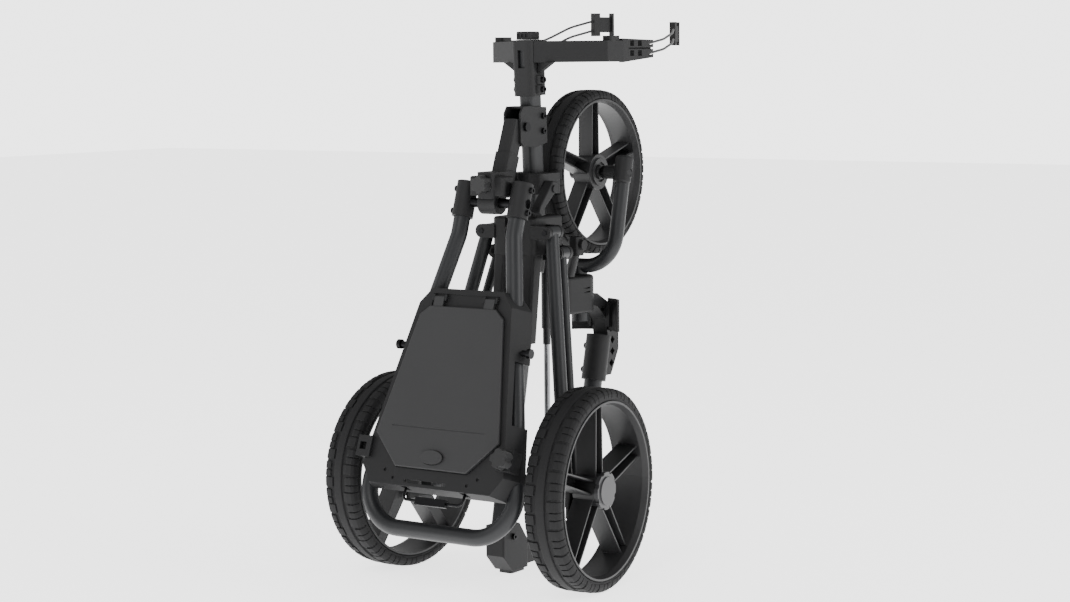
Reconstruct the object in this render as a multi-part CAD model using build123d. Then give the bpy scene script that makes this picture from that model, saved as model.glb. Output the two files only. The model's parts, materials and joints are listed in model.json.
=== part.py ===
from build123d import *
import os
from math import cos, radians, sin

# Folded three-wheel golf push cart, millimetres. +Z is up, +X is to the right seen from the
# handle side, +Y points from the handle side to the front-wheel side. The cart is drawn from the
# point on the ground midway between the rear wheels; the end of the script moves that to the
# middle of the cart's footprint.

# ---------------------------------------------------------------- driving dimensions
REAR_R = 145.0  # rear tyre radius
REAR_W = 57.0  # rear tyre width
REAR_FACE_X = 194.0  # outboard face of a rear wheel, at the axle
TOE = 4.0  # degrees each folded rear wheel turns out towards the handle
FRONT_R = 125.0
FRONT_W = 50.0
AXLE_D = 12.0
RUNNING = 0.05  # radial clearance of a shaft in its bore

FRONT_AXLE_Y, FRONT_AXLE_Z = 262.0, 578.0
SWIVEL_Y = 232.0  # vertical swivel axis of the front fork
HEAD_Z0, HEAD_Z1 = 366.0, 423.0  # steering head housing
FORK_X = 60.0  # fork leg, beside the front wheel
FORK_D = 22.0

FRAME_TOP = (0, 98.4, 770.0)  # centre line of the upper frame tube
FRAME_LOW = (0, 113.4, 500.0)
FRAME_X, FRAME_Y = 24.0, 31.0  # its section
CRADLE_Z0, CRADLE_Z1 = 745.0, 776.0
CRADLE_CORNER_X, CRADLE_CORNER_Y = 102.0, 154.0
ARM_END_Y = 190.0

HUB_HALF = 38.0
HUB_Z0, HUB_Z1 = 466.0, 522.0
LEG_PIVOT = (56.0, 72.0, 500.0)
LEG_END = (128.0, -6.0, 150.0)
LEG_D = 20.0
LINK_SHIFT = (0, 26.0, -32.0)  # from a leg to its parallel link
LINK_D = 14.0
PIN_D = 8.0
MAIN_TOP = (0, 101.0, 466.0)  # main tube centre line
MAIN_LOW = (0, 17.0, 72.0)
MAIN_X, MAIN_Y = 28.0, 21.0

HINGE_Y, HINGE_Z = 214.0, 28.0  # fold axis of the front section, along X
FRONT_TUBE_TOP = (0, 284.0, 318.0)
FRONT_TUBE_D = 28.0
HINGE_PIN_D = 10.0

ARM_PIVOT_Y, ARM_PIVOT_Z = 68.0, 652.0  # handle fold axis, along X
YOKE_Y, YOKE_Z = 2.0, 545.0  # handle angle axis, along X
HANDLE_LEAN = 18.2  # degrees from vertical
HANDLE_D = 24.0
HANDLE_TOP_X = 48.0
HANDLE_BAR_X = 142.0
HANDLE_LENGTH = 478.0  # from the yoke axis to the hand bar

CONSOLE_TOP = (0, -59.3, 425.4)
CONSOLE_LEAN = 20.8
CONSOLE_DEPTH = 32.0
LID_T = 6.0

parts = {}
os.makedirs("parts", exist_ok=True)


def mirrored(shape):
    """The same piece on the other side of the cart."""
    return mirror(shape, about=Plane.YZ)


def pair(shape):
    """A piece and its mirror image, kept as separate solids."""
    return Compound(children=[*shape.solids(), *mirrored(shape).solids()])


def group(shapes):
    """Several separate solids as one node."""
    return Compound(children=[s for shape in shapes for s in shape.solids()])


def bar(section, start, end, x_dir=(1, 0, 0)):
    """A straight length of a section between two points."""
    start, end = Vector(*start), Vector(*end)
    along = end - start
    return extrude(Plane(origin=start, x_dir=x_dir, z_dir=along) * section, amount=along.length)


def rod(start, end, diameter, wall=0.0):
    """A straight round bar, or a tube if it has a wall."""
    section = Circle(diameter / 2)
    if wall:
        section -= Circle(diameter / 2 - wall)
    start, end = Vector(*start), Vector(*end)
    along = end - start
    return extrude(Plane(origin=start, z_dir=along) * section, amount=along.length)


def bent_tube(points, diameter, wall, bends):
    """A round tube along straight runs joined by tangent bends."""
    path = FilletPolyline(*points, radius=bends)
    section = Circle(diameter / 2) - Circle(diameter / 2 - wall)
    return sweep(Plane(origin=path @ 0, z_dir=path % 0) * section, path=path)


def bent_rod(points, diameter, bends):
    """A solid round rod or cord along straight runs joined by tangent bends."""
    path = FilletPolyline(*points, radius=bends)
    return sweep(Plane(origin=path @ 0, z_dir=path % 0) * Circle(diameter / 2), path=path)


def along_x(x0, x1, y, z, diameter, bore=0.0):
    """A cylinder or ring whose axis is parallel to X."""
    shape = rod((x0, y, z), (x1, y, z), diameter)
    if bore:
        shape -= rod((x0 - 1, y, z), (x1 + 1, y, z), bore)
    return shape


def block(x0, x1, y0, y1, z0, z1, radius=0.0):
    """A box between two corners, with rounded upright edges if a radius is given."""
    section = RectangleRounded(x1 - x0, y1 - y0, radius) if radius else Rectangle(x1 - x0, y1 - y0)
    return Pos((x0 + x1) / 2, (y0 + y1) / 2, z0) * extrude(section, amount=z1 - z0)


def screw(x, y, z, outward, head=7.0, height=3.0):
    """A socket-head screw seen as its head, on a face whose outward normal is given."""
    plane = Plane(origin=(x, y, z), z_dir=outward)
    top = extrude(plane * Circle(head / 2), amount=height)
    socket = extrude(plane.offset(height - 1.6) * RegularPolygon(head * 0.28, 6), amount=2.0)
    return top - socket


# ---------------------------------------------------------------- wheels
# A wheel is drawn about the X axis with its outboard side at +X and its middle at the origin.
TREAD_BLOCKS = 24
SPOKES = 5
RIM_WALL = 3.0
SPOKE_WALL = 2.6


def ring(x0, x1, outer, inner=0.0):
    """A disc or ring about the X axis."""
    shape = rod((x0, 0, 0), (x1, 0, 0), 2 * outer)
    if inner:
        shape -= rod((x0 - 1, 0, 0), (x1 + 1, 0, 0), 2 * inner)
    return shape


def tyre(radius, width, seat):
    """Foam tyre: crowned tread, two grooves round the middle and notched shoulders."""
    half = width / 2
    crown, shoulder = radius, radius - 3.0
    groove, depth = 3.0, 2.5
    profile = Polyline(
        (-half + 2, seat), (-half, seat + 2), (-half, shoulder - 6), (-half + 3, shoulder),
        (-half * 0.45, crown - 0.8), (-7 - groove, crown), (-7 - groove, crown - depth),
        (-7, crown - depth), (-7, crown), (7, crown), (7, crown - depth),
        (7 + groove, crown - depth), (7 + groove, crown), (half * 0.45, crown - 0.8),
        (half - 3, shoulder), (half, shoulder - 6), (half, seat + 2), (half - 2, seat),
        close=True,
    )
    body = revolve(Plane.XY * make_face(profile), axis=Axis.X)
    notches = []
    for side in (-1, 1):
        for i in range(TREAD_BLOCKS):
            angle = 360 / TREAD_BLOCKS * (i + (0.5 if side > 0 else 0))
            notch = Pos(side * (half - 5), 0, radius) * Box(12, 4.5, 8)
            notches.append(Rot(angle, 0, 0) * notch)
    return body - notches


def rim(radius, width, seat, hub_r, bore):
    """Moulded rim: barrel with a lip each side, a hub and five deep U-section spokes."""
    half = width / 2
    inner = seat - RIM_WALL
    profile = Polyline(
        (-half, seat), (half, seat), (half, inner), (half - 9, inner - 3), (-half + 6, inner),
        (-half, inner), close=True,
    )
    barrel = revolve(Plane.XY * make_face(profile), axis=Axis.X)
    hub = ring(-half + 12, half - 8, hub_r, bore)
    spoke_back, spoke_face = -half + 12, half - 14
    reach = inner - 1.0
    outer_shape = Polyline((-11, 0), (-9, reach), (9, reach), (11, 0), close=True)
    wall = SPOKE_WALL
    recess = Polyline(
        (-11 + wall, hub_r - 2), (-9 + wall, reach + 4), (9 - wall, reach + 4),
        (11 - wall, hub_r - 2), close=True,
    )
    web = Plane.YZ.offset(spoke_back) * make_face(outer_shape)
    cut = Plane.YZ.offset(spoke_back + wall) * make_face(recess)
    spoke = extrude(web, amount=spoke_face - spoke_back) - extrude(cut, amount=width)
    spoke -= ring(-width, width, bore + 1)
    body = barrel
    for i in range(SPOKES):
        body += Rot(360 / SPOKES * i, 0, 0) * spoke
    body += hub
    return body - ring(-width, width, bore)


REAR_SEAT, FRONT_SEAT = 127.0, 111.0
HUB_BORE = AXLE_D / 2 + RUNNING
rear_tyre = tyre(REAR_R, REAR_W, REAR_SEAT)
rear_rim = rim(REAR_R, REAR_W, REAR_SEAT, 23.0, HUB_BORE)

# Hub cap: a notched disc that plugs the outboard end of the hub.
cap_x = REAR_W / 2 - 8
hub_cap = ring(cap_x + 0.2, cap_x + 6, 27) + ring(cap_x + 6, cap_x + 8, 20)
hub_cap -= [Rot(45 * i + 22.5, 0, 0) * Pos(cap_x + 4, 0, 28) * Box(12, 6, 6) for i in range(8)]

rear_place = Pos(REAR_FACE_X - REAR_W / 2, 0, REAR_R) * Rot(0, 0, TOE)
rear_wheel = {"rear_tyre": rear_tyre, "rear_rim": rear_rim, "rear_hub_cap": hub_cap}
for name, shape in rear_wheel.items():
    placed = rear_place * shape
    parts[name + "_right"] = placed
    parts[name + "_left"] = mirrored(placed)

front_place = Pos(0, FRONT_AXLE_Y, FRONT_AXLE_Z)
parts["front_tyre"] = front_place * tyre(FRONT_R, FRONT_W, FRONT_SEAT)
front_rim = rim(FRONT_R, FRONT_W, FRONT_SEAT, 27.0, HUB_BORE)
front_rim += ring(FRONT_W / 2 - 9, FRONT_W / 2 - 5, 21.0, 15.0)
front_rim += ring(FRONT_W / 2 - 9, FRONT_W / 2 - 3, 11.0, HUB_BORE)
parts["front_rim"] = front_place * front_rim

# ---------------------------------------------------------------- rear legs
# Each leg, its parallel link and its wheel carrier form a four-bar linkage with pins along Y, so
# the leg swings out sideways and the wheel stays upright.
EYE_D = 19.0


def along_y(y0, y1, x, z, diameter):
    """A cylinder whose axis is parallel to Y."""
    return rod((x, y0, z), (x, y1, z), diameter)


def swing_bar(top, end, diameter, half_eye, bore):
    """A tube with a pin eye at each end, both eyes along Y."""
    along = (Vector(*end) - Vector(*top)).normalized()
    bar_start = Vector(*top) + along * 4
    bar_end = Vector(*end) - along * 4
    piece = rod(tuple(bar_start), tuple(bar_end), diameter, 2.0)
    for x, y, z in (top, end):
        piece -= along_y(y - 40, y + 40, x, z, EYE_D - 1)
    for x, y, z in (top, end):
        piece += along_y(y - half_eye, y + half_eye, x, z, EYE_D)
    for x, y, z in (top, end):
        piece -= along_y(y - 40, y + 40, x, z, bore)
    return piece


leg_eye, link_eye = 11.0, 9.0
link_top = tuple(Vector(*LEG_PIVOT) + Vector(*LINK_SHIFT))
link_end = tuple(Vector(*LEG_END) + Vector(*LINK_SHIFT))
pin_bore = PIN_D + 2 * RUNNING
leg = swing_bar(LEG_PIVOT, LEG_END, LEG_D, leg_eye, pin_bore)
link = swing_bar(link_top, link_end, LINK_D, link_eye, PIN_D + 0.6)

# Wheel carrier: an outboard wall with clevis ears for the leg and the link, and the stub axle.
CARRIER_X0, CARRIER_X1 = 137.8, 145.0
carrier = block(CARRIER_X0, CARRIER_X1, -24, 36, 104, 164, 3)
for y0, y1, z0, z1 in ((-24, -17.5, 120, 162), (7.6, 10.5, 106, 162), (30.6, 36, 106, 130)):
    carrier += block(LEG_END[0] - 8, CARRIER_X0 + 2, y0, y1, z0, z1)
for (x, y, z), half_eye in ((LEG_END, leg_eye), (link_end, link_eye)):
    carrier += along_y(y - half_eye - 3, y + half_eye + 3, x, z, PIN_D)
axle = rear_place * ring(-REAR_W / 2 + 2, REAR_W / 2 - 8.5, AXLE_D / 2)
shoulder = rear_place * ring(-REAR_W / 2 + 4, -REAR_W / 2 + 11.6, 13)
carrier += axle
carrier += shoulder
for name, shape in {
    "leg_tube": leg, "parallel_link": link, "wheel_carrier": carrier,
}.items():
    parts[name + "_right"] = shape
    parts[name + "_left"] = mirrored(shape)

# ---------------------------------------------------------------- frame hub
hub = block(-HUB_HALF, HUB_HALF, 54, 132, HUB_Z0, HUB_Z1, 9)
hub = fillet(hub.faces().sort_by(Axis.Z)[-1].edges(), 4)
frame_pocket = bar(RectangleRounded(FRAME_X + 0.3, FRAME_Y + 0.3, 8), FRAME_LOW, FRAME_TOP)
hub -= frame_pocket
# Clevis ears on both sides take the pins of the legs and of the parallel links.
pins = []
ear_sizes = ((LEG_PIVOT, leg_eye, 6.5, 5), (link_top, link_eye, 3.5, 6))
for (x, y, z), half_eye, front, back in ear_sizes:
    for y0, y1 in ((y - half_eye - 2 - front, y - half_eye - 2),
                   (y + half_eye + 0.5, y + half_eye + 0.5 + back)):
        ear = along_y(y0, y1, x, z, EYE_D + 1) + block(HUB_HALF - 6, x, y0, y1, z - 10, z + 10)
        hub += ear
        hub += mirrored(ear)
    pins.append(along_y(y - half_eye - front - 3, y + half_eye + back + 1.5, x, z, PIN_D))
parts["leg_pivot_pins"] = pair(group(pins))
hub -= parts["leg_pivot_pins"].solids()
# The collar below the hub grips the main tube.
hub += bar(RectangleRounded(40, 33, 9), (0, 102.5, 473.0), (0, 94.5, 440.0))
main_pocket = bar(RectangleRounded(MAIN_X + 0.3, MAIN_Y + 0.3, 6.5), MAIN_LOW, MAIN_TOP)
hub -= main_pocket
strut_x, strut_y = 0.0, 140.0
hub += block(-11, 11, 124, 152, 452, 470, 6)
hub -= block(-4.6, 4.6, strut_y - 4.6, strut_y + 4.6, 440, 480, 4.5)
# A round-faced cover plate sits in a recess of the hub's handle side.
cover_seat = Plane(origin=(0, 60, 498), z_dir=(0, -1, 0))
hub -= extrude(cover_seat * RectangleRounded(51.4, 27.4, 3), amount=20)
hub -= extrude(cover_seat * Circle(15.3), amount=20)
parts["hub_casting"] = hub
cover = extrude(cover_seat * RectangleRounded(51, 27, 3), amount=3)
cover += extrude(cover_seat.offset(3) * Circle(15), amount=5)
cover -= extrude(cover_seat.offset(7) * (Circle(12) - Circle(10.5)), amount=1)
parts["hub_cover"] = cover

# Side fairings that run down beside the main tube.
fairing = loft([
    Plane.XY.offset(HUB_Z0) * Pos(25, 67) * RectangleRounded(20, 26, 5),
    Plane.XY.offset(338) * Pos(27, 52) * RectangleRounded(16, 20, 5),
], ruled=True)
parts["side_fairings"] = pair(fairing)

# ---------------------------------------------------------------- main tube and foot
main_section = RectangleRounded(MAIN_X, MAIN_Y, 6.5) - RectangleRounded(MAIN_X - 4, MAIN_Y - 4, 4.5)
parts["main_tube"] = bar(main_section, MAIN_LOW, MAIN_TOP)

foot = Plane.YZ.offset(-16) * make_face(Polyline(
    (-2, 30), (-2, 74), (40, 74), (62, 44), (62, 5), (22, 5), close=True))
foot = extrude(foot, amount=32)
foot = fillet(foot.edges().filter_by(Axis.Z), 3)
foot += block(-12, 12, 52, 196, 8, 38, 5) - block(-8, 8, 70, 185, 16, 50, 3)
foot -= main_pocket
# The rear end of the foot is a clevis for the hinge of the front section.
for x0, x1 in ((-12, -5.2), (5.2, 12)):
    foot += along_x(x0, x1, HINGE_Y, HINGE_Z, 34)
    foot += block(x0, x1, 190, HINGE_Y, 11, 45)
foot -= block(-5.2, 5.2, HINGE_Y - 19, HINGE_Y + 30, 0, 60)
foot -= along_x(-20, 20, HINGE_Y, HINGE_Z, HINGE_PIN_D)
parts["foot_casting"] = foot
hinge_pin = along_x(-15, 15, HINGE_Y, HINGE_Z, HINGE_PIN_D)
for x0, x1 in ((-15, -12), (12, 15)):
    hinge_pin += along_x(x0, x1, HINGE_Y, HINGE_Z, 15.0)
parts["fold_hinge_pin"] = hinge_pin
parts["foot_pads"] = group([
    block(-12, 12, 24, 60, 0, 5, 5), block(-9, 9, 160, 186, 0, 8, 4),
])

# Lock strut behind the main tube: a fixed barrel and a rod that slides 15 mm in it.
strut_barrel = rod((0, strut_y, 350), (0, strut_y, 452), 15)
strut_barrel += rod((0, strut_y, 326), (0, strut_y, 350), 11.5)
strut_barrel += rod((0, strut_y, 452), (0, strut_y, 460), 9)
strut_barrel -= rod((0, strut_y, 300), (0, strut_y, 430), 9.0 + 2 * RUNNING)
parts["strut_barrel"] = strut_barrel
lock_rod = rod((0, strut_y, 46), (0, strut_y, 360), 9.0)
lock_rod += block(-6, 6, strut_y - 8, strut_y + 8, 20, 46, 3)
parts["lock_rod"] = lock_rod

# ---------------------------------------------------------------- upper frame
frame_wall = RectangleRounded(FRAME_X, FRAME_Y, 8) - RectangleRounded(FRAME_X - 4, FRAME_Y - 4, 6)
parts["upper_tube"] = bar(frame_wall, FRAME_LOW, FRAME_TOP)


def on_frame(z):
    """The upper tube's centre line at a height."""
    t = (z - FRAME_LOW[2]) / (FRAME_TOP[2] - FRAME_LOW[2])
    return (0, FRAME_LOW[1] + t * (FRAME_TOP[1] - FRAME_LOW[1]), z)


socket_body = bar(RectangleRounded(35, 40, 8), on_frame(697), on_frame(778))
socket_body += [block(-22, 22, 93, 111, z, z + 12, 4) for z in (700, 714)]
socket_body -= frame_pocket
socket_body -= block(-5.5, 5.5, 70, 86, 737, 763, 1)
parts["cradle_socket"] = split(socket_body, bisect_by=Plane.XY.offset(778), keep=Keep.BOTTOM)
frame_screws = [screw(22, 102, z + 6, (1, 0, 0), 9.0, 4.0) for z in (700, 714)]

cap = block(-13, 13, 84, 112, 778.2, 790, 5)
cap = fillet(cap.faces().sort_by(Axis.Z)[-1].edges(), 2)
cap -= [Pos(x, 84, 784) * Box(4.5, 3, 4.5) for x in (-6.5, 0, 6.5)]
parts["top_cap"] = cap

# Bag cradle: one casting with two arms that go out from the socket and turn back along the bag.
arm_outline = Polyline(
    (17.8, 86), (CRADLE_CORNER_X, CRADLE_CORNER_Y), (CRADLE_CORNER_X + 4, ARM_END_Y),
    (CRADLE_CORNER_X - 10, ARM_END_Y), (CRADLE_CORNER_X - 16, CRADLE_CORNER_Y + 12),
    (46, 128), (17.8, 128), close=True,
)
arm = extrude(Plane.XY.offset(CRADLE_Z0) * make_face(arm_outline), amount=CRADLE_Z1 - CRADLE_Z0)
arm_pocket = Polyline(
    (24, 98), (92, 151), (96, 180), (90, 180), (82, 158), (46, 120), (24, 120), close=True,
)
arm -= extrude(Plane.XY.offset(CRADLE_Z0 - 1) * make_face(arm_pocket), amount=24)
gusset = extrude(
    Plane(origin=(0, 101, 0), x_dir=(1, 0, 0), z_dir=(0, -1, 0)) * make_face(Polyline(
        (17.8, 729), (17.8, CRADLE_Z0), (42, CRADLE_Z0), close=True)), amount=5, both=True)
bridge = block(-30, 30, 119.3, 128, CRADLE_Z0, CRADLE_Z1)
arm += block(
    CRADLE_CORNER_X - 14, CRADLE_CORNER_X + 2, ARM_END_Y - 30, ARM_END_Y - 4, CRADLE_Z1 - 1, 783, 4)
cradle = arm + gusset + mirrored(arm) + mirrored(gusset) + bridge
cradle -= bar(RectangleRounded(35.6, 40.6, 8), on_frame(690), on_frame(790))
cradle -= block(-23, 23, 90, 114, 698, 728)
parts["bag_cradle"] = cradle

# Windowed end plates, screwed to the ends of the arms.
PLATE_T = 7.0
plate_y0, plate_y1 = ARM_END_Y + 0.2, 276.0
plate_side = Plane(origin=(CRADLE_CORNER_X - 3, 0, 0), x_dir=(0, 1, 0), z_dir=(1, 0, 0))
plate = extrude(plate_side * make_face(Polyline(
    (plate_y0, CRADLE_Z0 - 1), (plate_y0, CRADLE_Z1 + 3), (plate_y1, CRADLE_Z1 + 1),
    (plate_y1, CRADLE_Z0 + 6), close=True)), amount=PLATE_T)
windows = []
for y in (210, 232):
    for z in (753.5, 768.0):
        windows.append(block(CRADLE_CORNER_X - 10, CRADLE_CORNER_X + 10, y, y + 11, z, z + 8))
windows.append(block(CRADLE_CORNER_X, CRADLE_CORNER_X + 10, 206, plate_y1 + 1, 763.5, 766))
end_plate = plate - windows
cord_z = (756.0, 771.0)
CORD_D = 3.6
cord_start_y = plate_y1 - 14
end_plate -= [
    rod((CRADLE_CORNER_X + 0.5, cord_start_y, z), (CRADLE_CORNER_X + 0.5, plate_y1 + 4, z + 3), 8.0)
    for z in cord_z
]
parts["cradle_end_plates"] = pair(end_plate)

# Elastic straps of the upper cradle: two cords a side, tied into a hook plate.
HOOK_START, HOOK_END = (73.0, 388.0), (60.0, 429.0)
HOOK_Z_RIGHT, HOOK_Z_LEFT = 787.0, 803.0  # the left strap springs up a little more
CORD_RADII = [70.0, 70.0]
hook_x = Vector(HOOK_END[0] - HOOK_START[0], HOOK_END[1] - HOOK_START[1], 0).normalized()


def strap(hook_z):
    """The two cords and the hook plate of a right-hand strap."""
    lift = hook_z - sum(cord_z) / 2
    lines = [[
        (CRADLE_CORNER_X + 0.5, cord_start_y, z), (CRADLE_CORNER_X + 0.5, 312, z + 0.3 * lift),
        (93, 354, z + 0.7 * lift), (HOOK_START[0] - 3, HOOK_START[1] + 9, z + lift),
    ] for z in cord_z]
    cords = group([bent_rod(line, CORD_D, CORD_RADII) for line in lines])
    plane = Plane(origin=(*HOOK_START, hook_z), x_dir=hook_x, z_dir=(0, 0, 1))
    hook = plane * (Pos(6, 0, 0) * Box(12, 9, 36) + Pos(24, 0, 0) * Box(26, 4, 24))
    hook += plane * Pos(38, 1.5, 0) * Box(4, 8, 36)
    hook -= [bent_rod(line, CORD_D + 0.02, CORD_RADII) for line in lines]
    return cords, hook.solids().sort_by(SortBy.VOLUME)[-1]


print("strap cord bend radii", CORD_RADII)
cords_right, hook_right = strap(HOOK_Z_RIGHT)
cords_left, hook_left = strap(HOOK_Z_LEFT)
parts["strap_cords"] = group([cords_right, mirrored(cords_left)])
parts["strap_hooks"] = group([hook_right, mirrored(hook_left)])

# Side plates bolted to the upper tube carry the handle's fold pivot.
side_outline = Polyline(
    (55, 630), (55, 672), (62, 682), (122, 680), (124, 628), (96, 622), (62, 624), close=True,
)
plate_face = Plane(origin=(FRAME_X / 2 + 0.2, 0, 0), x_dir=(0, 1, 0), z_dir=(1, 0, 0))
side_plate = extrude(plate_face * make_face(side_outline), amount=3.0)
hood = block(-15.2, 15.2, 69, 86, 679, 682, 2)
plates = side_plate + mirrored(side_plate) + hood
plates -= along_x(-30, 30, ARM_PIVOT_Y, ARM_PIVOT_Z, 8.0)
parts["pivot_plates"] = plates
frame_screws += [
    screw(FRAME_X / 2 + 3.2, 112.5, z, (1, 0, 0), 9.0, 4.0) for z in (645, 667)
]
frame_screws.append(screw(16, 24, 56, (1, 0, 0), 9.0, 4.0))
parts["frame_screws"] = pair(group(frame_screws))
fold_pin = along_x(-18.2, 18.2, ARM_PIVOT_Y, ARM_PIVOT_Z, 8.0)
for x0, x1 in ((-19.5, -15.2), (15.2, 19.5)):
    fold_pin += along_x(x0, x1, ARM_PIVOT_Y, ARM_PIVOT_Z, 13.0)
parts["handle_fold_pin"] = fold_pin

# Dock that the folded link arm rests in, clamped round the upper tube.
dock = block(-36, 36, 76, 130, 554, 584, 8)
dock -= frame_pocket
dock -= block(-14, 14, 60, 88, 550, 590, 3)

# Fold lever on the right of the dock.
LEVER_X = 37.5
lever_face = Plane(origin=(LEVER_X, 0, 0), x_dir=(0, 1, 0), z_dir=(1, 0, 0))
lever_outline = Polyline(
    (97, 572), (84, 574), (50, 538), (47, 530), (55, 524), (64, 526), (62, 535), (97, 562),
    close=True,
)
lever = extrude(lever_face * make_face(lever_outline), amount=14)
lever = fillet(lever.faces().sort_by(Axis.X)[-1].edges(), 2)
LEVER_Y, LEVER_Z = 86.0, 562.0
lever -= along_x(30, 60, LEVER_Y, LEVER_Z, 6.0 + 2 * RUNNING)
parts["fold_lever"] = lever
dock += along_x(30, 52, LEVER_Y, LEVER_Z, 6.0)
dock += along_x(51.7, 54, LEVER_Y, LEVER_Z, 11.0)
parts["handle_dock"] = dock

# ---------------------------------------------------------------- front section
front_tube_low = (0, 219.6, 56.0)
parts["front_tube"] = rod(front_tube_low, FRONT_TUBE_TOP, FRONT_TUBE_D, 2.0)
shoe = along_x(-5, 5, HINGE_Y, HINGE_Z, 30)
shoe += bar(Rectangle(10, 22), (0, HINGE_Y, HINGE_Z), (0, 219.4, 55.5))
shoe += rod((0, 218.6, 52.5), (0, 225.0, 78.0), FRONT_TUBE_D - 4.4)
shoe += rod((0, 218.4, 51.6), (0, 219.5, 55.8), FRONT_TUBE_D)
shoe -= along_x(-20, 20, HINGE_Y, HINGE_Z, HINGE_PIN_D + 2 * RUNNING)
parts["front_tube_shoe"] = shoe

sleeve_low, sleeve_top = (0, 268.9, 256.0), (0, 285.6, 324.0)
sleeve = rod(sleeve_low, sleeve_top, 38)
web_outline = Polyline(
    (276, 262), (300, 262), (322, 300), (322, 338), (300, 372), (262, 392), (246, 392), (246, 376),
    (262, 372), (284, 352), (290, 326), (284, 300), close=True,
)
web_face = Plane(origin=(-13, 0, 0), x_dir=(0, 1, 0), z_dir=(1, 0, 0))
web = extrude(web_face * make_face(web_outline), amount=26)
cells = []
for y, z in ((301, 280), (304, 298), (304, 316), (300, 334), (291, 350), (277, 366)):
    cells.append(Pos(0, y, z) * Rot(45, 0, 0) * Box(60, 9, 9))
bracket = sleeve + (web - cells)
tube_dir = (Vector(*FRONT_TUBE_TOP) - Vector(*front_tube_low)).normalized()
bracket -= rod(front_tube_low, tuple(Vector(*FRONT_TUBE_TOP) + tube_dir * 6), FRONT_TUBE_D + 0.3)
bracket -= Pos(0, SWIVEL_Y, HEAD_Z0 - 1) * extrude(Circle(21.2), amount=HEAD_Z1 - HEAD_Z0 + 2)
bracket -= block(-40, 40, 150, SWIVEL_Y + 18, HEAD_Z0 - 1, HEAD_Z1 + 1)
parts["lower_bracket"] = bracket
parts["bracket_screws"] = group([
    screw(-19, y, z, (-1, 0, 0), 9.0, 4.0) for y, z in ((272.7, 271), (281.5, 307))
])

# Bag rest: a curved plate across the cart, moulded on ribs behind the steering head.
rest_ring = Pos(0, 236) * (Circle(60) - Circle(56))
rest = extrude(Plane.XY.offset(332) * rest_ring, amount=50)
rest &= block(-42, 42, 262, 320, 300, 400)
rest -= block(-13.2, 13.2, 240, 330, 320, 400)
rest_lug = block(13.2, 20, 284, 290, 338, 376)
parts["bag_rest"] = pair(rest.solids().sort_by(Axis.X)[-1] + rest_lug)

head_circles = [Pos(0, SWIVEL_Y) * Circle(21), Pos(0, 190) * Circle(14)]
head_section = make_hull([edge for circle in head_circles for edge in circle.edges()])
head = Pos(0, 0, HEAD_Z0) * extrude(head_section, amount=HEAD_Z1 - HEAD_Z0)
head = fillet(head.faces().sort_by(Axis.Z)[-1].edges(), 5)
head = fillet(head.faces().sort_by(Axis.Z)[0].edges(), 4)
head -= rod((0, SWIVEL_Y, 350), (0, SWIVEL_Y, 440), 16.0 + 2 * RUNNING)
head -= [Pos(21, SWIVEL_Y - 14, z) * Box(6, 22, 2) for z in (398, 404)]
parts["steering_head"] = head

# Swivel lock post: a short tube on the head's front lobe, with an eye and a cross bolt.
post = rod((8, 190.8, HEAD_Z1 + 0.1), (33, 172, 468), 15)
post = split(post, bisect_by=Plane.XY.offset(HEAD_Z1 + 0.1), keep=Keep.TOP)
post_eye = block(24, 42, 162, 182, 458, 486, 5)
post_body = (post + post_eye) - along_x(10, 60, 172, 474, 8.0)
lock_bolt = along_x(22, 42, 172, 474, 8.0) + along_x(42, 48, 172, 474, 16.0)
parts["swivel_lock"] = group([post_body, lock_bolt])

# ---------------------------------------------------------------- front fork
CROWN_Z = 437.0
fork_route = [
    (-6, SWIVEL_Y, CROWN_Z), (FORK_X, SWIVEL_Y, CROWN_Z), (FORK_X, FRONT_AXLE_Y + 4, 590),
]
fork = bent_tube(fork_route, FORK_D, 2.5, [48])
stem = rod((0, SWIVEL_Y, 356), (0, SWIVEL_Y, HEAD_Z1 + 0.8), 16)
stem += rod((0, SWIVEL_Y, HEAD_Z1 + 0.8), (0, SWIVEL_Y, CROWN_Z), 24)
stem += rod((0, SWIVEL_Y, 352), (0, SWIVEL_Y, HEAD_Z0 - 0.8), 26)
stem -= bent_rod(fork_route, FORK_D - 5, [48])
fork_end = rod((FORK_X, 257.5, 562), (FORK_X, 268.0, 602), 27)
fork_end = fillet(fork_end.edges().filter_by(GeomType.CIRCLE), 4)
fork_end += along_x(31, FORK_X, FRONT_AXLE_Y, FRONT_AXLE_Z, 21)
fork_end -= along_x(0, 90, FRONT_AXLE_Y, FRONT_AXLE_Z, AXLE_D)
fork_end -= bent_rod(fork_route, FORK_D + 0.2, [48])
parts["fork_end"] = fork_end
front_axle = along_x(-24, FORK_X + 12, FRONT_AXLE_Y, FRONT_AXLE_Z, AXLE_D)
parts["fork_tube"] = (fork + stem) - along_x(20, 90, FRONT_AXLE_Y, FRONT_AXLE_Z, AXLE_D + 0.2)
front_axle += along_x(-30, -24, FRONT_AXLE_Y, FRONT_AXLE_Z, 22)
axle_nut = along_x(25.5, 30.8, FRONT_AXLE_Y, FRONT_AXLE_Z, 20, AXLE_D)
parts["front_axle"] = group([front_axle, axle_nut])

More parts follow.
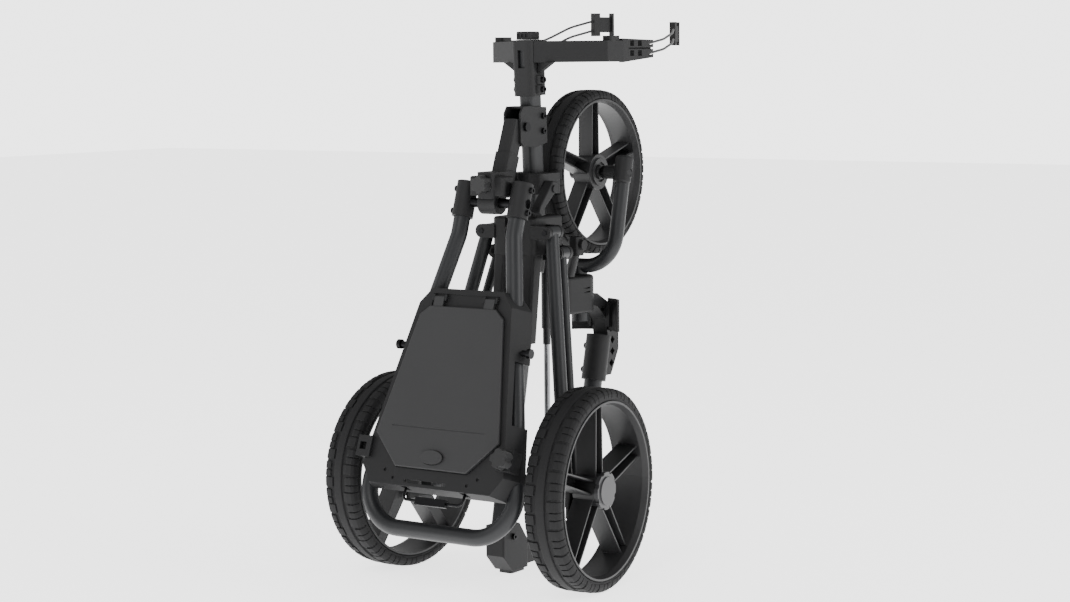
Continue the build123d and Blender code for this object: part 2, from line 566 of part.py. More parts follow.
# ---------------------------------------------------------------- link arm and yoke
arm_low = (0, 24.0, 566.0)
arm_top = (0, 61.0, 660.0)
arm_dir = Vector(*arm_top) - Vector(*arm_low)
seam = 0.5
arm_mid = tuple(Vector(*arm_low) + arm_dir * seam)
arm_upper = bar(RectangleRounded(23, 26, 4), tuple(Vector(*arm_mid) + arm_dir * 0.004), arm_top)
arm_upper += along_x(-11.5, 11.5, ARM_PIVOT_Y, ARM_PIVOT_Z, 24)
arm_upper -= along_x(-30, 30, ARM_PIVOT_Y, ARM_PIVOT_Z, 8.0 + 2 * RUNNING)
arm_upper -= block(-30, 30, 83.0, 130, 560, 700)
parts["link_arm_upper"] = arm_upper
lower = bar(RectangleRounded(26, 29, 4), arm_low, arm_mid)
lower += block(-15, 15, -16, 38, 552, 590, 6)
yoke_block = block(-31, 31, -12, 16, 556, 584, 6)
lower += fillet(yoke_block.faces().sort_by(Axis.Z)[-1].edges(), 3)
lower += along_x(-15, 15, YOKE_Y, YOKE_Z, 32)
lower -= along_x(-30, 30, YOKE_Y, YOKE_Z, 14.0 + 2 * RUNNING)
lower -= rod((0, -20, 573), (0, 14, 573), 8.0 + 2 * RUNNING)
parts["link_arm_lower"] = lower
knob_y = -17.0
knob = rod((0, knob_y - 15, 573), (0, knob_y, 573), 26)
knob -= [
    Pos(0, knob_y - 8, 573) * Rot(0, 60 * i, 0) * Pos(15.5, 0, 0) * Rot(90, 0, 0) * Cylinder(5, 30)
    for i in range(6)
]
knob += rod((0, knob_y, 573), (0, 12, 573), 8.0)
parts["clamp_knob"] = knob

# ---------------------------------------------------------------- handle
lean = radians(HANDLE_LEAN)


def on_handle(x, down, out=0.0):
    """A point of the handle: across the cart, down from the yoke axis, and out from its plane."""
    return (
        x,
        YOKE_Y - down * sin(lean) - out * cos(lean),
        YOKE_Z - down * cos(lean) + out * sin(lean),
    )


socket_end = 22.0
handle_points = [
    (HANDLE_TOP_X, -8), (HANDLE_TOP_X, 48), (HANDLE_BAR_X, HANDLE_LENGTH),
    (-HANDLE_BAR_X, HANDLE_LENGTH), (-HANDLE_TOP_X, 48), (-HANDLE_TOP_X, -8),
]
handle_route = [on_handle(x, d) for x, d in handle_points]
handle_bends = [60, 62, 62, 60]
handle_tube = bent_tube(handle_route, HANDLE_D, 2.0, handle_bends)
cross_bar_bore = along_x(-90, 90, YOKE_Y, YOKE_Z, 14.1)
parts["handle_tube"] = handle_tube - cross_bar_bore
sockets = []
for x in (-HANDLE_TOP_X, HANDLE_TOP_X):
    casting = rod(on_handle(x, -30), on_handle(x, socket_end), 31)
    casting -= rod(on_handle(x, -8.3), on_handle(x, 60), HANDLE_D + 0.2)
    casting -= along_x(-90, 90, YOKE_Y, YOKE_Z, 14.0)
    sockets.append(casting)
parts["yoke_sockets"] = group(sockets)
parts["yoke_cross_bar"] = along_x(-58, 58, YOKE_Y, YOKE_Z, 14.0)
parts["yoke_screws"] = pair(group([
    screw(HANDLE_TOP_X + 15.8, *on_handle(0, d)[1:], (1, 0, 0), 9.0, 4.0) for d in (-20, 13)
]))

# ---------------------------------------------------------------- console
tilt = radians(CONSOLE_LEAN)
console = Plane(origin=CONSOLE_TOP, x_dir=(1, 0, 0), z_dir=(0, -cos(tilt), sin(tilt)))


def outline(points):
    """A closed outline from its right-hand half, from top to bottom."""
    left = [(-x, y) for x, y in reversed(points)]
    return make_face(Polyline(*points, *left, close=True))


def slab(points, low, high):
    """A plate of the console between two distances out from its front face."""
    return extrude(console.offset(low) * outline(points), amount=high - low)


FRONT = [(62, 0), (80, -22), (122, -262), (104, -288)]
BACK = [(70, 3), (94, -20), (138, -262), (120, -292)]
WALL = 3.0


def inset(points, amount):
    """An outline moved in, near enough, by an amount."""
    return [(x - amount, y - amount if y > -100 else y + amount) for x, y in points]


shell = loft([console * outline(FRONT), console.offset(-CONSOLE_DEPTH) * outline(BACK)], ruled=True)
cavity = loft([
    console.offset(-WALL) * outline(inset(FRONT, WALL)),
    console.offset(-CONSOLE_DEPTH - 1) * outline(inset(BACK, WALL)),
], ruled=True)
base = shell - cavity
base -= bent_rod(handle_route, HANDLE_D + 1.0, handle_bends)
TUB = [(50, -34), (50, -60), (74, -225), (56, -252)]
TUB_BACK = -44.0
base += slab(TUB, TUB_BACK, -1.5)
base -= slab(inset(TUB, WALL), TUB_BACK + WALL, 2)
# Scoops in both side walls show the handle tube.
for side in (-1, 1):
    base -= console * Pos(side * 122, -141, -22) * Box(76, 90, 26)
LID = [(57, -27), (72, -40), (106, -216), (61, -262)]
LID_GAP = 0.6
base -= slab(inset(LID, -LID_GAP), -1.3, 5)
for x, y in ((80, -268), (64, -278)):
    for side in (-1, 1):
        base -= console * Pos(side * x, y, 0) * Cylinder(2.4, 4)
# An accessory boss on each side: a round bore with a knob on the right, a square one on the left.
KNOB_STEM = 8.0
for side in (-1, 1):
    base += console * Pos(side * 122, -238, -6) * Box(24, 30, 22)
base -= console * Pos(-124, -238, 2) * Box(11, 11, 9)
base -= console * Pos(122, -238, -4) * Cylinder(KNOB_STEM / 2 + RUNNING, 60)
base -= console * Pos(-8, -281, -6) * Box(72, 5, 20)
base -= bent_rod(handle_route, HANDLE_D + 1.0, handle_bends)
base = base.solids().sort_by(SortBy.VOLUME)[-1]

# Lid: it turns on two pins through lugs at its upper edge; the knuckles of its tabs are round.
HINGE_V, HINGE_W = -14.0, 1.5
lid = slab(LID, -1.0, LID_T - 1.0)
lid = fillet(lid.faces().sort_by(Axis((0, 0, 0), tuple(console.z_dir)))[-1].edges(), 1.5)
hinge_at = (console * Pos(0, HINGE_V, HINGE_W)).position
hinge_y, hinge_z = hinge_at.Y, hinge_at.Z
TAB_X, TAB_W = 44.0, 16.4
for side in (-1, 1):
    x = side * TAB_X
    lid += console * Pos(x, -21.5, HINGE_W) * Box(TAB_W, 15, 5)
    lid += along_x(x - TAB_W / 2, x + TAB_W / 2, hinge_y, hinge_z, 5)
lid -= console * Pos(0, -204, LID_T - 1.0) * Box(160, 1.6, 1.2)
LATCH_V = -245.0
lid -= extrude(console.offset(1.2) * Pos(0, LATCH_V) * Ellipse(19.5, 10.5), amount=8)
lid -= along_x(-60, 60, hinge_y, hinge_z, 3.0 + 2 * RUNNING)
parts["console_lid"] = lid
base -= slab([(58, -8), (58, -30)], -1.4, 6)
for x in (TAB_X - 10.5, TAB_X + 10.5):
    lug = console * Pos(x, HINGE_V, 0.2) * Box(3.6, 9, 7.0)
    base += lug
    base += mirrored(lug)
base -= along_x(-60, 60, hinge_y, hinge_z, 3.0)
parts["lid_hinge_pins"] = pair(along_x(31.7, 56.3, hinge_y, hinge_z, 3.0))
parts["lid_latch"] = extrude(console.offset(4.2) * Pos(0, LATCH_V) * Ellipse(19, 10), amount=3.8)

side_screw_at = (console * Pos(0, -82, -18)).position
side_screw = along_x(101, 116, side_screw_at.Y, side_screw_at.Z, 9.0)
side_screw += along_x(110, 116, side_screw_at.Y, side_screw_at.Z, 14.0)
parts["console_side_screws"] = pair(side_screw)
base -= parts["console_side_screws"].solids()
acc_knob = console * Pos(122, -238, 5.4 + 8) * Cylinder(14, 16)
acc_knob -= [
    console * Pos(122, -238, 13) * Rot(0, 0, 72 * i) * Pos(16, 0, 0) * Cylinder(5, 30)
    for i in range(5)
]
acc_knob += console * Pos(122, -238, -6) * Cylinder(KNOB_STEM / 2, 24)
parts["accessory_knob"] = acc_knob

# Brake bail under the console's lower edge: a black grip plate on a bent wire, whose ends turn
# outwards into two bored lugs.
WIRE_D = 4.0
BAIL_V, BAIL_W = -284.0, -14.0
GRIP_V, GRIP_W = -306.0, -8.0
wire_stations = [
    (-58, BAIL_V, BAIL_W), (-46, BAIL_V, BAIL_W), (-46, GRIP_V, GRIP_W),
    (56, GRIP_V, GRIP_W), (56, BAIL_V, BAIL_W), (68, BAIL_V, BAIL_W),
]
wire_route = [tuple((console * Pos(*station)).position) for station in wire_stations]
wire = bent_rod(wire_route, WIRE_D, [3, 8, 8, 3])
grip_at = (console * Pos(0, GRIP_V, GRIP_W)).position
grip = console * Pos(5, GRIP_V, GRIP_W) * Box(52, 11, 9)
grip -= along_x(-60, 60, grip_at.Y, grip_at.Z, WIRE_D)
parts["brake_bail"] = group([wire, grip])
bail_at = (console * Pos(0, BAIL_V, BAIL_W)).position
for x in (-46, 56):
    base -= console * Pos(x, -290, -12) * Box(9, 22, 18)
for x in (-53.5, 63.5):
    base += console * Pos(x, -284, -11) * Box(5, 9, 20)
base -= along_x(-60, 70, bail_at.Y, bail_at.Z, WIRE_D + 2 * RUNNING)
parts["console_base"] = base.solids().sort_by(SortBy.VOLUME)[-1]

# ---------------------------------------------------------------- origin and files
whole = Compound(children=[s for shape in parts.values() for s in shape.solids()])
box = whole.bounding_box()
shift = (-(box.min.X + box.max.X) / 2, -(box.min.Y + box.max.Y) / 2, -box.min.Z)
print("shift", shift, "size", box.size)
for name, shape in parts.items():
    node = Compound(children=[Pos(*shift) * s for s in shape.solids()], label=name)
    export_step(node, f"parts/{name}.step")
print(len(parts), "nodes")
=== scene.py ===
import bmesh
import bpy
import json
import math
from mathutils import Matrix, Vector


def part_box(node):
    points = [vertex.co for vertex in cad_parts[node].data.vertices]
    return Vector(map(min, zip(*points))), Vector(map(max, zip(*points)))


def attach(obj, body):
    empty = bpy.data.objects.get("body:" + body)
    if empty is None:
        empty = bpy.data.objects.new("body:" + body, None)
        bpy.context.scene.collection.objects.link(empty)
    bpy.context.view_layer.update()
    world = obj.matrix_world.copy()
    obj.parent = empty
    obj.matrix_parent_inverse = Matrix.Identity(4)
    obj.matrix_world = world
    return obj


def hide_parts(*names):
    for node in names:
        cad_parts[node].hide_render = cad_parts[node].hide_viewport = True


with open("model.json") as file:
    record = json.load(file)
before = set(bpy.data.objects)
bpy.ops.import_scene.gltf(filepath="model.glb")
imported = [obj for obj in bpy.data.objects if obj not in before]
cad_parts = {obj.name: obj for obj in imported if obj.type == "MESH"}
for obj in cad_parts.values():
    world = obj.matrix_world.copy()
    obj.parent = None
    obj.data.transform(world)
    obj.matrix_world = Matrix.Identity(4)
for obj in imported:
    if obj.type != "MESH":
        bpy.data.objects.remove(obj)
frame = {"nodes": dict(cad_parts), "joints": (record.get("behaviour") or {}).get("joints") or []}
nodes = frame["nodes"]
joints = {joint["name"]: joint for joint in frame["joints"]}
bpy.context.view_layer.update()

# ---------------------------------------------------------------- camera
# A long lens just under the height of the bag cradle, in front of the handle side and to its
# right, aimed a little down and turned almost level.
CAMERA_PLACE = Vector((1.865, -2.778, 0.750))
CAMERA_YAW = math.radians(-34.06)
CAMERA_DOWN = math.radians(6.11)
CAMERA_ROLL = math.radians(-0.55)
camera_data = bpy.data.cameras.new("camera")
camera_data.lens = 76.05
camera_data.sensor_width = 36.0
camera_data.clip_start = 0.05
camera = bpy.data.objects.new("camera", camera_data)
bpy.context.scene.collection.objects.link(camera)
forward = Vector((
    math.sin(CAMERA_YAW) * math.cos(CAMERA_DOWN),
    math.cos(CAMERA_YAW) * math.cos(CAMERA_DOWN),
    -math.sin(CAMERA_DOWN),
))
level = Vector((math.cos(CAMERA_YAW), -math.sin(CAMERA_YAW), 0))
upright = level.cross(forward)
side = level * math.cos(CAMERA_ROLL) + upright * math.sin(CAMERA_ROLL)
top = upright * math.cos(CAMERA_ROLL) - level * math.sin(CAMERA_ROLL)
facing = Matrix((side, top, -forward)).transposed().to_4x4()
camera.matrix_world = Matrix.Translation(CAMERA_PLACE) @ facing
bpy.context.scene.camera = camera

# ---------------------------------------------------------------- studio
# A white sweep of floor under a bright, even sky, with three large soft boxes round the cart. The
# sweep behind the cart is lit brighter than the light that falls back on the cart.


def tone(code):
    """A colour of a sheet or paint, from sRGB hex to the linear values that a shader takes."""
    values = [int(code[i:i + 2], 16) / 255 for i in (1, 3, 5)]
    linear = [v / 12.92 if v <= 0.04045 else ((v + 0.055) / 1.055) ** 2.4 for v in values]
    return (*linear, 1.0)


def add(tree, kind, settings=None, **inputs):
    """A node with its settings, its plain values and its links, each given by the socket's name."""
    node = tree.nodes.new(kind)
    for name, value in (settings or {}).items():
        setattr(node, name, value)
    for name, value in inputs.items():
        key = int(name[1:]) if name[1:].isdigit() else name.replace("_", " ")
        socket = node.inputs[key]
        if isinstance(value, bpy.types.NodeSocket):
            tree.links.new(value, socket)
        else:
            socket.default_value = value
    return node


def blank_material(name):
    """An empty node material and its tree."""
    material = bpy.data.materials.new(name)
    material.use_nodes = True
    material.node_tree.nodes.clear()
    return material, material.node_tree


def finish_material(tree, shader):
    """Joins a material's last shader to its surface."""
    output = tree.nodes.new("ShaderNodeOutputMaterial")
    tree.links.new(shader.outputs[0], output.inputs["Surface"])


SKY_ON_CART, SKY_SEEN, FLOOR_GLOW = 0.70, 3.4, 2.2
world = bpy.data.worlds.new("studio")
world.use_nodes = True
sky = world.node_tree.nodes["Background"]
sky.inputs["Color"].default_value = tone("#ffffff")
path = add(world.node_tree, "ShaderNodeLightPath")
glow = add(world.node_tree, "ShaderNodeMapRange", Value=path.outputs["Is Camera Ray"],
           To_Min=SKY_ON_CART, To_Max=SKY_SEEN)
world.node_tree.links.new(glow.outputs[0], sky.inputs["Strength"])
bpy.context.scene.world = world

floor_mesh = bpy.data.meshes.new("studio_floor")
FLOOR_HALF = 12.0
signs = ((-1, -1), (1, -1), (1, 1), (-1, 1))
floor_corners = [(x * FLOOR_HALF, y * FLOOR_HALF, 0) for x, y in signs]
floor_mesh.from_pydata(floor_corners, [], [(0, 1, 2, 3)])
floor = bpy.data.objects.new("studio_floor", floor_mesh)
bpy.context.scene.collection.objects.link(floor)
paper, tree = blank_material("white_paper_sweep")
fibre = add(tree, "ShaderNodeTexNoise", Scale=40.0)
shade = add(tree, "ShaderNodeMix", {"data_type": "RGBA"}, _0=fibre.outputs["Fac"],
            _6=tone("#fafafa"), _7=tone("#ffffff"))
finish_material(tree, add(
    tree, "ShaderNodeBsdfPrincipled", Base_Color=shade.outputs[2], Roughness=0.9,
    Emission_Color=tone("#ffffff"), Emission_Strength=FLOOR_GLOW))
floor_mesh.materials.append(paper)


def soft_box(name, place, aim, size, power):
    """A square area light that faces a point."""
    data = bpy.data.lights.new(name, "AREA")
    data.size = size
    data.energy = power
    light = bpy.data.objects.new(name, data)
    light.location = place
    light.rotation_euler = (Vector(aim) - Vector(place)).to_track_quat("-Z", "Y").to_euler()
    bpy.context.scene.collection.objects.link(light)


CART_MIDDLE = (0, 0, 0.42)
soft_box("key_light", (0.4, -2.6, 2.6), CART_MIDDLE, 1.6, 34)
soft_box("rim_light", (2.6, 0.6, 1.6), CART_MIDDLE, 1.4, 34)
soft_box("fill_light", (-2.4, -1.4, 1.2), CART_MIDDLE, 1.8, 12)


# ---------------------------------------------------------------- frame tubes
# Aluminium tube, powder coated in satin charcoal. The coat has a fine orange-peel skin and
# breaks a little paler along its length where hands and straps rub it.
MM = 0.001
EDGE_RADIUS = 0.9 * MM  # how far wear and paint round every edge


def paint(material, *names):
    """Gives carried-over pieces their material."""
    for name in names:
        for material_slot in nodes[name].material_slots:
            material_slot.material = material


coat, tree = blank_material("satin_powder_coat")
place = add(tree, "ShaderNodeTexCoord").outputs["Object"]
peel = add(tree, "ShaderNodeTexNoise", Vector=place, Scale=1 / (1.6 * MM), Detail=3.0)
cloud = add(tree, "ShaderNodeTexNoise", Vector=place, Scale=1 / (70 * MM), Detail=5.0)
colour = add(tree, "ShaderNodeMix", {"data_type": "RGBA"}, _0=cloud.outputs["Fac"],
             _6=tone("#131416"), _7=tone("#1a1b1d"))
rough = add(tree, "ShaderNodeMapRange", Value=cloud.outputs["Fac"], To_Min=0.36, To_Max=0.50)
edge = add(tree, "ShaderNodeBevel", {"samples": 4}, Radius=EDGE_RADIUS)
bump = add(tree, "ShaderNodeBump", Normal=edge.outputs[0], Strength=0.18,
           Distance=0.15 * MM, Height=peel.outputs["Fac"])
finish_material(tree, add(
    tree, "ShaderNodeBsdfPrincipled", Base_Color=colour.outputs[2], Roughness=rough.outputs[0],
    Metallic=0.0, IOR=1.5, Specular_IOR_Level=0.32, Coat_Weight=0.05, Coat_Roughness=0.4,
    Normal=bump.outputs[0]))
paint(coat, "main_tube", "upper_tube", "front_tube", "strut_barrel", "handle_tube",
      "fork_tube", "leg_tube_right", "leg_tube_left", "parallel_link_right", "parallel_link_left")

# ---------------------------------------------------------------- castings and joints
# Glass-filled nylon mouldings, spark-eroded: a fine sandy grain with pale flow clouds, dull in
# the hollows and a little polished on the faces that are handled.
nylon, tree = blank_material("glass_filled_nylon")
place = add(tree, "ShaderNodeTexCoord").outputs["Object"]
grit = add(tree, "ShaderNodeTexNoise", Vector=place, Scale=1 / (0.9 * MM), Detail=4.0)
flow = add(tree, "ShaderNodeTexNoise", Vector=place, Scale=1 / (45 * MM), Detail=6.0)
colour = add(tree, "ShaderNodeMix", {"data_type": "RGBA"}, _0=flow.outputs["Fac"],
             _6=tone("#0f0f10"), _7=tone("#171718"))
rough = add(tree, "ShaderNodeMapRange", Value=grit.outputs["Fac"], To_Min=0.46, To_Max=0.68)
edge = add(tree, "ShaderNodeBevel", {"samples": 4}, Radius=EDGE_RADIUS)
bump = add(tree, "ShaderNodeBump", Normal=edge.outputs[0], Strength=0.35,
           Distance=0.12 * MM, Height=grit.outputs["Fac"])
finish_material(tree, add(
    tree, "ShaderNodeBsdfPrincipled", Base_Color=colour.outputs[2], Roughness=rough.outputs[0],
    IOR=1.53, Specular_IOR_Level=0.24, Normal=bump.outputs[0]))
paint(nylon, "hub_casting", "hub_cover", "side_fairings", "foot_casting", "cradle_socket",
      "top_cap", "bag_cradle", "cradle_end_plates", "strap_hooks", "pivot_plates", "handle_dock",
      "front_tube_shoe", "lower_bracket", "bag_rest", "steering_head", "swivel_lock", "fork_end",
      "link_arm_upper", "link_arm_lower", "yoke_sockets", "fold_lever",
      "wheel_carrier_right", "wheel_carrier_left", "console_base")

# ---------------------------------------------------------------- screws and pins
# Steel, zinc plated and blackened: a thin oily sheen over turned or cold-headed steel.
black_oxide, tree = blank_material("black_oxide_steel")
place = add(tree, "ShaderNodeTexCoord").outputs["Object"]
turning = add(tree, "ShaderNodeTexNoise", Vector=place, Scale=1 / (1.2 * MM), Detail=2.0)
colour = add(tree, "ShaderNodeMix", {"data_type": "RGBA"}, _0=turning.outputs["Fac"],
             _6=tone("#121213"), _7=tone("#1e1e20"))
rough = add(tree, "ShaderNodeMapRange", Value=turning.outputs["Fac"], To_Min=0.28, To_Max=0.42)
finish_material(tree, add(tree, "ShaderNodeBsdfPrincipled", Base_Color=colour.outputs[2],
                          Metallic=0.85, Roughness=rough.outputs[0]))
paint(black_oxide, "leg_pivot_pins", "fold_hinge_pin", "frame_screws", "handle_fold_pin",
      "bracket_screws", "front_axle", "yoke_cross_bar", "yoke_screws", "console_side_screws",
      "brake_bail")

zinc, tree = blank_material("zinc_plated_steel")
place = add(tree, "ShaderNodeTexCoord").outputs["Object"]
drawn = add(tree, "ShaderNodeMapping", Vector=place, Scale=(900, 900, 20))
lines = add(tree, "ShaderNodeTexNoise", Vector=drawn.outputs[0], Scale=1.0, Detail=3.0)
colour = add(tree, "ShaderNodeMix", {"data_type": "RGBA"}, _0=lines.outputs["Fac"],
             _6=tone("#77787a"), _7=tone("#9a9b9d"))
rough = add(tree, "ShaderNodeMapRange", Value=lines.outputs["Fac"], To_Min=0.25, To_Max=0.38)
finish_material(tree, add(tree, "ShaderNodeBsdfPrincipled", Base_Color=colour.outputs[2],
                          Metallic=1.0, Roughness=rough.outputs[0]))
paint(zinc, "lock_rod", "lid_hinge_pins")

# ---------------------------------------------------------------- knobs and pads
# Soft thermoplastic rubber over a nylon core, and plain rubber pads under the foot: matt, with a
# velvety skin that takes no gloss.
grip_rubber, tree = blank_material("moulded_grip_rubber")
place = add(tree, "ShaderNodeTexCoord").outputs["Object"]
skin = add(tree, "ShaderNodeTexNoise", Vector=place, Scale=1 / (1.1 * MM), Detail=3.0)
colour = add(tree, "ShaderNodeMix", {"data_type": "RGBA"}, _0=skin.outputs["Fac"],
             _6=tone("#0a0a0b"), _7=tone("#1c1c1d"))
edge = add(tree, "ShaderNodeBevel", {"samples": 4}, Radius=EDGE_RADIUS)
bump = add(tree, "ShaderNodeBump", Normal=edge.outputs[0], Strength=0.3,
           Distance=0.1 * MM, Height=skin.outputs["Fac"])
finish_material(tree, add(
    tree, "ShaderNodeBsdfPrincipled", Base_Color=colour.outputs[2], Roughness=0.62, IOR=1.52,
    Specular_IOR_Level=0.35,
    Sheen_Weight=0.08, Normal=bump.outputs[0]))
paint(grip_rubber, "foot_pads", "clamp_knob", "accessory_knob")

# ---------------------------------------------------------------- console lid
# ABS lid and its press latch, with a fine leathery spark grain, paler than the nylon tray under
# them. The lid turns on two short pins at its upper edge.
lid_abs, tree = blank_material("grained_abs")
place = add(tree, "ShaderNodeTexCoord").outputs["Object"]
grain = add(tree, "ShaderNodeTexNoise", Vector=place, Scale=1 / (1.3 * MM), Detail=5.0)
haze = add(tree, "ShaderNodeTexNoise", Vector=place, Scale=1 / (90 * MM), Detail=4.0)
colour = add(tree, "ShaderNodeMix", {"data_type": "RGBA"}, _0=haze.outputs["Fac"],
             _6=tone("#1e1e1f"), _7=tone("#232324"))
rough = add(tree, "ShaderNodeMapRange", Value=grain.outputs["Fac"], To_Min=0.48, To_Max=0.62)
edge = add(tree, "ShaderNodeBevel", {"samples": 4}, Radius=EDGE_RADIUS)
bump = add(tree, "ShaderNodeBump", Normal=edge.outputs[0], Strength=0.3,
           Distance=0.1 * MM, Height=grain.outputs["Fac"])
finish_material(tree, add(
    tree, "ShaderNodeBsdfPrincipled", Base_Color=colour.outputs[2], Roughness=rough.outputs[0],
    IOR=1.53, Specular_IOR_Level=0.36, Normal=bump.outputs[0]))
paint(lid_abs, "console_lid", "lid_latch")

# ---------------------------------------------------------------- wheel rims
# One-piece nylon rims with five channelled spokes, satin from a polished mould, and turning
# straight on the axle.
rim_nylon, tree = blank_material("satin_rim_nylon")
place = add(tree, "ShaderNodeTexCoord").outputs["Object"]
grain = add(tree, "ShaderNodeTexNoise", Vector=place, Scale=1 / (1.5 * MM), Detail=4.0)
flow = add(tree, "ShaderNodeTexNoise", Vector=place, Scale=1 / (60 * MM), Detail=5.0)
colour = add(tree, "ShaderNodeMix", {"data_type": "RGBA"}, _0=flow.outputs["Fac"],
             _6=tone("#1e1e1f"), _7=tone("#262627"))
rough = add(tree, "ShaderNodeMapRange", Value=grain.outputs["Fac"], To_Min=0.40, To_Max=0.54)
edge = add(tree, "ShaderNodeBevel", {"samples": 4}, Radius=EDGE_RADIUS)
bump = add(tree, "ShaderNodeBump", Normal=edge.outputs[0], Strength=0.2,
           Distance=0.1 * MM, Height=grain.outputs["Fac"])
finish_material(tree, add(
    tree, "ShaderNodeBsdfPrincipled", Base_Color=colour.outputs[2], Roughness=rough.outputs[0],
    IOR=1.53, Specular_IOR_Level=0.36, Normal=bump.outputs[0]))
paint(rim_nylon, "rear_rim_right", "rear_rim_left", "front_rim")

# ---------------------------------------------------------------- hub caps
# Notched nylon caps pressed into the outboard end of each rear hub, moulded a shade paler than
# the rims and a little glossier on their rubbed faces.
cap_nylon, tree = blank_material("pale_cap_nylon")
place = add(tree, "ShaderNodeTexCoord").outputs["Object"]
grain = add(tree, "ShaderNodeTexNoise", Vector=place, Scale=1 / (1.0 * MM), Detail=4.0)
rub = add(tree, "ShaderNodeTexNoise", Vector=place, Scale=1 / (18 * MM), Detail=5.0)
colour = add(tree, "ShaderNodeMix", {"data_type": "RGBA"}, _0=rub.outputs["Fac"],
             _6=tone("#2c2c2d"), _7=tone("#38383a"))
rough = add(tree, "ShaderNodeMapRange", Value=rub.outputs["Fac"], To_Min=0.36, To_Max=0.52)
edge = add(tree, "ShaderNodeBevel", {"samples": 4}, Radius=EDGE_RADIUS)
bump = add(tree, "ShaderNodeBump", Normal=edge.outputs[0], Strength=0.2,
           Distance=0.1 * MM, Height=grain.outputs["Fac"])
finish_material(tree, add(
    tree, "ShaderNodeBsdfPrincipled", Base_Color=colour.outputs[2], Roughness=rough.outputs[0],
    IOR=1.53, Specular_IOR_Level=0.4, Normal=bump.outputs[0]))
paint(cap_nylon, "rear_hub_cap_right", "rear_hub_cap_left")

# ---------------------------------------------------------------- tyres
# Closed-cell EVA foam tyres, moulded in one piece: a plain band runs round the middle between
# two grooves, and lugs with a sipe each wrap over both shoulders, half a pitch apart.
eva, tree = blank_material("eva_foam")
place = add(tree, "ShaderNodeTexCoord").outputs["Object"]
cells = add(tree, "ShaderNodeTexVoronoi", Vector=place, Scale=1 / (1.4 * MM))
dust = add(tree, "ShaderNodeTexNoise", Vector=place, Scale=1 / (28 * MM), Detail=6.0)
colour = add(tree, "ShaderNodeMix", {"data_type": "RGBA"}, _0=dust.outputs["Fac"],
             _6=tone("#0d0d0e"), _7=tone("#161617"))
rough = add(tree, "ShaderNodeMapRange", Value=dust.outputs["Fac"], To_Min=0.66, To_Max=0.82)
edge = add(tree, "ShaderNodeBevel", {"samples": 4}, Radius=EDGE_RADIUS)
bump = add(tree, "ShaderNodeBump", Normal=edge.outputs[0], Strength=0.25,
           Distance=0.15 * MM, Height=cells.outputs["Distance"])
finish_material(tree, add(
    tree, "ShaderNodeBsdfPrincipled", Base_Color=colour.outputs[2], Roughness=rough.outputs[0],
    IOR=1.48, Specular_IOR_Level=0.3, Normal=bump.outputs[0]))


def revolved(bm, profile, steps):
    """Adds a closed outline of (across, radius) points turned about the wheel's axis, X."""
    rings = []
    for i in range(steps):
        angle = math.tau * i / steps
        rings.append([
            bm.verts.new((x, r * math.cos(angle), r * math.sin(angle))) for x, r in profile])
    count = len(profile)
    for i in range(steps):
        here, there = rings[i], rings[(i + 1) % steps]
        for j in range(count):
            k = (j + 1) % count
            bm.faces.new((here[j], here[k], there[k], there[j]))


def lug(bm, profile, start, end, steps):
    """Adds a tread lug: a closed outline carried round the wheel from one angle to another."""
    rings = []
    for i in range(steps + 1):
        angle = start + (end - start) * i / steps
        rings.append([
            bm.verts.new((x, r * math.cos(angle), r * math.sin(angle))) for x, r in profile])
    count = len(profile)
    for here, there in zip(rings, rings[1:]):
        for j in range(count):
            k = (j + 1) % count
            bm.faces.new((here[j], here[k], there[k], there[j]))
    bm.faces.new(list(reversed(rings[0])))
    bm.faces.new(rings[-1])


GROOVE_DEPTH = 2.6  # millimetres, as are the other sizes of the tyres
RING_STEPS, LUG_STEPS = 144, 4
LUGS = 22
MOULD_EDGE = 0.5 * MM


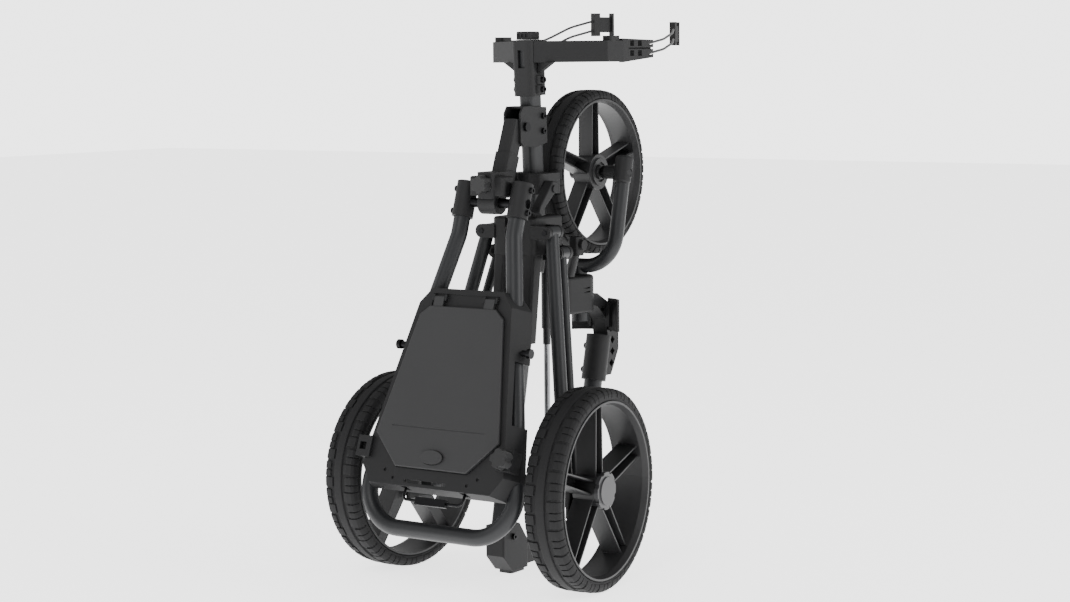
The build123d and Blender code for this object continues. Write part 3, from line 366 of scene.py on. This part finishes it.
def tyre(name, node, body, spin, half, crown, seat):
    """A tyre with its tread, set on its wheel's axle."""
    floor_r = crown - GROOVE_DEPTH
    carcass = [
        (-half + 2, seat), (-half + 0.8, seat + 2), (-half + 0.8, crown - 9),
        (-half + 3.4, crown - 4.4), (-half + 8, floor_r), (-10, floor_r), (-7, floor_r),
        (-6.4, crown - 0.3), (-5, crown), (5, crown), (6.4, crown - 0.3), (7, floor_r),
        (10, floor_r), (half - 8, floor_r), (half - 3.4, crown - 4.4), (half - 0.8, crown - 9),
        (half - 0.8, seat + 2), (half - 2, seat),
    ]
    bm = bmesh.new()
    revolved(bm, [(x * MM, r * MM) for x, r in carcass], RING_STEPS)
    long_lug = [
        (10, floor_r - 1), (10, crown - 0.4), (half * 0.55, crown - 0.3), (half - 4.6, crown - 1.4),
        (half - 1.6, crown - 4.6), (half, crown - 9), (half, seat + 4), (half - 2, seat + 4),
        (half - 2, crown - 10), (half - 6, floor_r - 1.4),
    ]
    short_lug = [
        (14, floor_r - 1), (14, crown - 0.4), (half * 0.6, crown - 0.3), (half - 4.6, crown - 1.4),
        (half - 1.6, crown - 4.6), (half, crown - 9), (half, crown - 13), (half - 2, crown - 13),
        (half - 2, crown - 10), (half - 6, floor_r - 1.4),
    ]
    pitch = math.tau / LUGS
    for hand in (-1, 1):
        for i in range(LUGS):
            turn = pitch * (i + (0.25 if hand > 0 else 0.75))
            for outline, low, high in ((long_lug, -0.44, -0.10), (short_lug, -0.06, 0.16),
                                       (short_lug, 0.20, 0.46)):
                shape = [(hand * x * MM, r * MM) for x, r in outline]
                if hand < 0:
                    shape.reverse()
                lug(bm, shape, turn + low * pitch, turn + high * pitch, LUG_STEPS)
    bmesh.ops.recalc_face_normals(bm, faces=bm.faces)
    mesh = bpy.data.meshes.new(name)
    bm.to_mesh(mesh)
    bm.free()
    mesh.materials.append(eva)
    piece = bpy.data.objects.new(name, mesh)
    bpy.context.scene.collection.objects.link(piece)
    joint = joints[spin]
    across = Vector(joint["axis"]).normalized()
    low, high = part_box(node)
    middle = (low + high) / 2
    back = across.cross(Vector((0, 0, 1))).normalized()
    turned = Matrix((across, back, across.cross(back))).transposed().to_4x4()
    mesh.transform(Matrix.Translation(middle) @ turned)
    bevel = piece.modifiers.new("moulded_edges", "BEVEL")
    bevel.width = MOULD_EDGE
    bevel.segments = 2
    bevel.limit_method = "ANGLE"
    bevel.angle_limit = math.radians(40)
    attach(piece, body)
    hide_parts(node)


REAR_HALF, REAR_CROWN, REAR_SEAT = 28.5, 145.0, 127.0
tyre("rear_tread_right", "rear_tyre_right", "rear_wheel_right", "rear_wheel_spin_right",
     REAR_HALF, REAR_CROWN, REAR_SEAT)
tyre("rear_tread_left", "rear_tyre_left", "rear_wheel_left", "rear_wheel_spin_left",
     REAR_HALF, REAR_CROWN, REAR_SEAT)
tyre("front_tread", "front_tyre", "front_wheel", "front_wheel_spin", 25.0, 125.0, 111.0)

# ---------------------------------------------------------------- elastic straps
# Braided elastic cord: polyester over rubber strands. Two cords a side hold the bag, each fixed in
# an end plate and in a hook plate. The braid is drawn coarser than it is, so that it shows.
braid, tree = blank_material("braided_elastic_cord")
place = add(tree, "ShaderNodeTexCoord").outputs["Object"]
one_way = add(tree, "ShaderNodeTexWave", {"bands_direction": "DIAGONAL"}, Vector=place,
              Scale=1 / (4 * MM), Distortion=0.5)
colour = add(tree, "ShaderNodeMix", {"data_type": "RGBA"}, _0=one_way.outputs["Fac"],
             _6=tone("#161617"), _7=tone("#2a2a2b"))
edge = add(tree, "ShaderNodeBevel", {"samples": 4}, Radius=EDGE_RADIUS)
bump = add(tree, "ShaderNodeBump", Normal=edge.outputs[0], Strength=0.6,
           Distance=0.2 * MM, Height=one_way.outputs["Fac"])
finish_material(tree, add(
    tree, "ShaderNodeBsdfPrincipled", Base_Color=colour.outputs[2], Roughness=0.75,
    Sheen_Weight=0.2, Normal=bump.outputs[0]))
paint(braid, "strap_cords")
